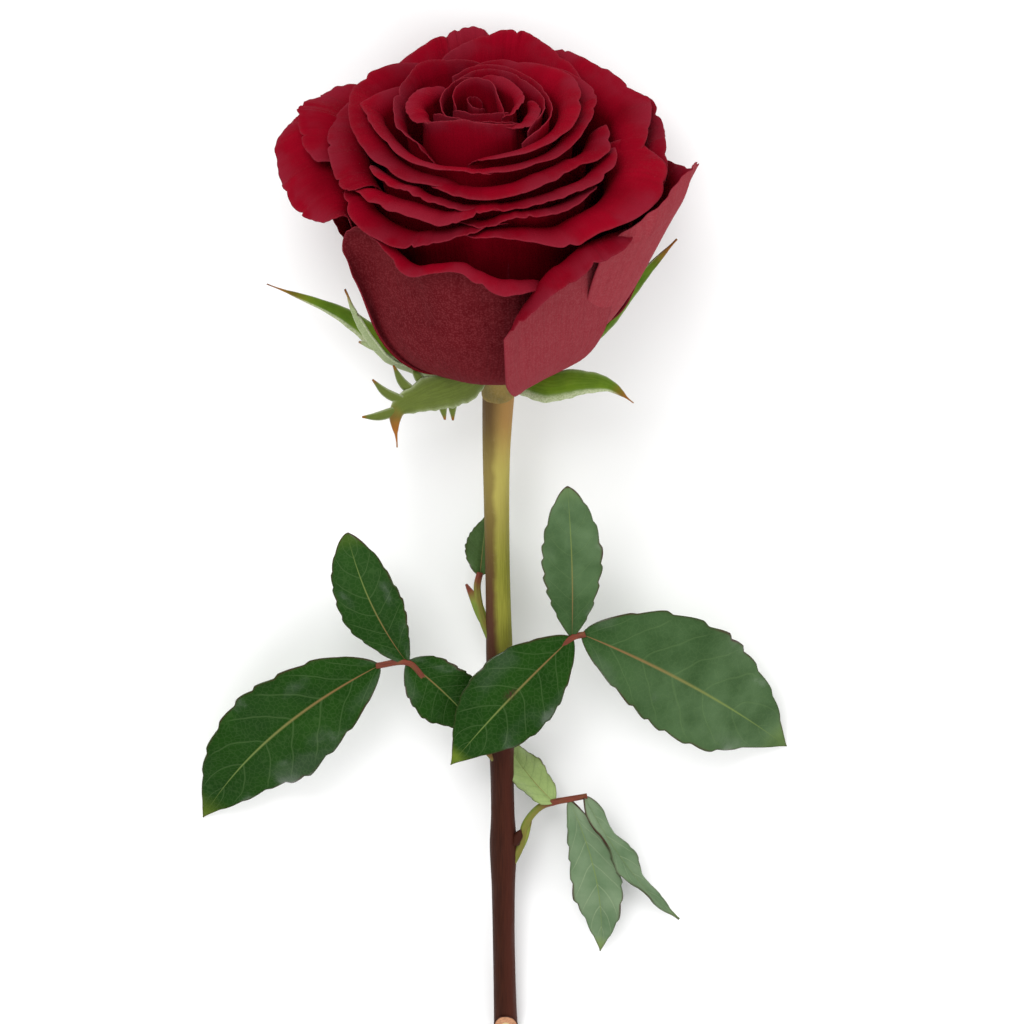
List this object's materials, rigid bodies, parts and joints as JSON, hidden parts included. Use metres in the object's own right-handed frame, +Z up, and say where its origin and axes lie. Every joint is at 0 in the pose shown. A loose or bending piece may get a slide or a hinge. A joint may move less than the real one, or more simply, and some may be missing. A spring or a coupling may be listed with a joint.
{
  "type": "cut rose stem",
  "caption": "Single cut red rose lying on its side: double bloom of overlapping rolled petals, green calyx with curled sepals, slender stem with an oblique cut and compound toothed leaves",
  "frame": {"origin": "On the surface that the flower lies on, under the middle of its bounding box", "axes": "+Y runs along the stem from the cut end to the bloom, +X is to the right as the flower is seen from above with the bloom away from the viewer, +Z is up from the surface"},
  "size_m": [0.13, 0.2348, 0.0698],
  "materials": {
    "petal": "deep velvety red petals, matt with a soft sheen, darker in the folds and pinkish on the backs",
    "stem_bark": "reddish-brown young bark turning green-yellow towards the bloom, satin",
    "calyx_green": "yellow-green hip and sepals, satin, with brown tips",
    "leaf_green": "dark green leathery leaflets, glossy above and pale grey-green below, with a lighter net of veins"
  },
  "bodies": {
    "root": {"stem": "stem_bark", "calyx": "calyx_green", "bloom": "petal", "leaf_left": "leaf_green", "leaf_right": "leaf_green", "leaf_lower": "leaf_green", "leaf_upper": "leaf_green"}
  },
  "joints": []
}
